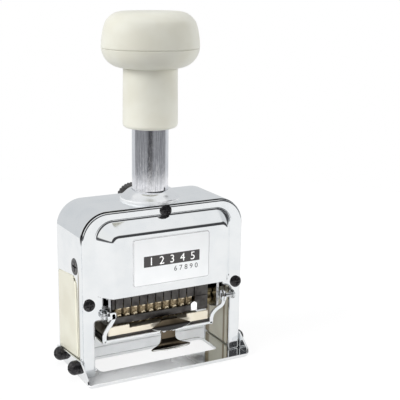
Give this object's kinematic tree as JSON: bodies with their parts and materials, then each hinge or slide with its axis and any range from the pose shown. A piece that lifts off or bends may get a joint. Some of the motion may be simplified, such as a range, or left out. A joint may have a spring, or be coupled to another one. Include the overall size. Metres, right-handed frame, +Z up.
{
  "type": "numbering machine",
  "caption": "Hand numbering machine: push knob and sprung plunger over an arch housing, row of turning type wheels, swing-out ink pad, base plate with a print window.",
  "frame": {"origin": "under the centre of the base plate, on the plunger axis, at the surface it stands on", "axes": "+Z up along the plunger, -Y out of the front face with the label plate, +X to the right seen from the front"},
  "size_m": [0.0766, 0.038, 0.135],
  "materials": {
    "chrome": "polished chrome plate",
    "mirror_chrome": "mirror polished plate",
    "label": "satin white lacquer, plain",
    "ivory_plastic": "glossy ivory moulding",
    "cream_plastic": "matt cream",
    "black_screw": "black oxide, slight shine",
    "steel": "plain bright steel",
    "spring_steel": "drawn spring wire",
    "dark_steel": "dark blued steel",
    "brass": "turned brass",
    "type_brass": "dull brass type metal",
    "white_mark": "white enamel",
    "black_tray": "black lacquer",
    "felt": "pressed wool felt, not yet inked"
  },
  "bodies": {
    "housing": {"housing_shell": "chrome", "front_plate": "chrome", "rear_plate": "chrome", "name_plate": "label", "side_panel_left": "ivory_plastic", "side_panel_right": "ivory_plastic", "base_plate": "mirror_chrome", "front_screws": "black_screw", "rear_screws": "black_screw", "side_screws": "black_screw", "base_screws": "black_screw", "guide_bush": "chrome", "cross_bar": "steel", "pad_pivot_pins": "steel", "dial_screw": "steel", "dial_pointer": "brass"},
    "plunger": {"plunger_tube": "chrome", "spring_seat": "steel", "return_spring": "spring_steel", "handle_neck": "ivory_plastic", "knob_base": "ivory_plastic", "knob_cap": "ivory_plastic", "carriage_frame": "steel", "wheel_axle": "steel", "axle_nuts": "steel", "tie_rod": "steel", "front_guard": "dark_steel", "index_marker": "white_mark", "detent_comb": "dark_steel", "comb_screws": "steel"},
    "repeat_dial": {"repeat_dial": "dark_steel"},
    "feed": {"feed_yoke": "steel", "feed_pawl": "dark_steel"},
    "repeat_wheel": {"repeat_ratchet": "brass", "repeat_cam": "brass"},
    "ink_pad": {"pad_holder": "chrome", "ink_tray": "black_tray", "ink_felt": "felt", "pad_lip": "cream_plastic", "pull_tab": "chrome", "tab_rivets": "steel"},
    "wheel_01": {"number_wheel_01": "type_brass"},
    "wheel_02": {"number_wheel_02": "type_brass"},
    "wheel_03": {"number_wheel_03": "type_brass"},
    "wheel_04": {"number_wheel_04": "type_brass"},
    "wheel_05": {"number_wheel_05": "type_brass"},
    "wheel_06": {"number_wheel_06": "type_brass"},
    "wheel_07": {"number_wheel_07": "type_brass"},
    "wheel_08": {"number_wheel_08": "type_brass"},
    "wheel_09": {"number_wheel_09": "type_brass"},
    "wheel_10": {"number_wheel_10": "type_brass"}
  },
  "joints": [
    {"name": "plunger_slide", "type": "slide", "parent": "housing", "child": "plunger", "axis": [0, 0, -1], "range_m": [0, 0.0167], "stiffness_N_per_m": 350, "springref_m": -0.015, "deforming": ["return_spring"]},
    {"name": "pad_swing", "type": "hinge", "parent": "housing", "child": "ink_pad", "pos_m": [0, -0.0145, 0.0256], "axis": [-1, 0, 0], "range_deg": [0, 100]},
    {"name": "feed_swing", "type": "hinge", "parent": "plunger", "child": "feed", "pos_m": [0, -0.0039, 0.0252], "axis": [1, 0, 0], "range_deg": [0, 36]},
    {"name": "repeat_turn", "type": "hinge", "parent": "plunger", "child": "repeat_wheel", "pos_m": [0, -0.0039, 0.0252], "axis": [1, 0, 0], "continuous": true},
    {"name": "dial_turn", "type": "hinge", "parent": "housing", "child": "repeat_dial", "pos_m": [0, 0.0157, 0.06065], "axis": [0, 1, 0], "range_deg": [-150, 150]},
    {"name": "wheel_turn_01", "type": "hinge", "parent": "plunger", "child": "wheel_01", "pos_m": [-0.0192, -0.0039, 0.0252], "axis": [1, 0, 0], "continuous": true},
    {"name": "wheel_turn_02", "type": "hinge", "parent": "plunger", "child": "wheel_02", "pos_m": [-0.01585, -0.0039, 0.0252], "axis": [1, 0, 0], "continuous": true},
    {"name": "wheel_turn_03", "type": "hinge", "parent": "plunger", "child": "wheel_03", "pos_m": [-0.0125, -0.0039, 0.0252], "axis": [1, 0, 0], "continuous": true},
    {"name": "wheel_turn_04", "type": "hinge", "parent": "plunger", "child": "wheel_04", "pos_m": [-0.00915, -0.0039, 0.0252], "axis": [1, 0, 0], "continuous": true},
    {"name": "wheel_turn_05", "type": "hinge", "parent": "plunger", "child": "wheel_05", "pos_m": [-0.0058, -0.0039, 0.0252], "axis": [1, 0, 0], "continuous": true},
    {"name": "wheel_turn_06", "type": "hinge", "parent": "plunger", "child": "wheel_06", "pos_m": [-0.00245, -0.0039, 0.0252], "axis": [1, 0, 0], "continuous": true},
    {"name": "wheel_turn_07", "type": "hinge", "parent": "plunger", "child": "wheel_07", "pos_m": [0.0009, -0.0039, 0.0252], "axis": [1, 0, 0], "continuous": true},
    {"name": "wheel_turn_08", "type": "hinge", "parent": "plunger", "child": "wheel_08", "pos_m": [0.00425, -0.0039, 0.0252], "axis": [1, 0, 0], "continuous": true},
    {"name": "wheel_turn_09", "type": "hinge", "parent": "plunger", "child": "wheel_09", "pos_m": [0.0076, -0.0039, 0.0252], "axis": [1, 0, 0], "continuous": true},
    {"name": "wheel_turn_10", "type": "hinge", "parent": "plunger", "child": "wheel_10", "pos_m": [0.01095, -0.0039, 0.0252], "axis": [1, 0, 0], "continuous": true}
  ],
  "couplings": [
    {"joint": "pad_swing", "follows": "plunger_slide", "rad_per_m": 104.4},
    {"joint": "feed_swing", "follows": "plunger_slide", "rad_per_m": 37.5}
  ]
}
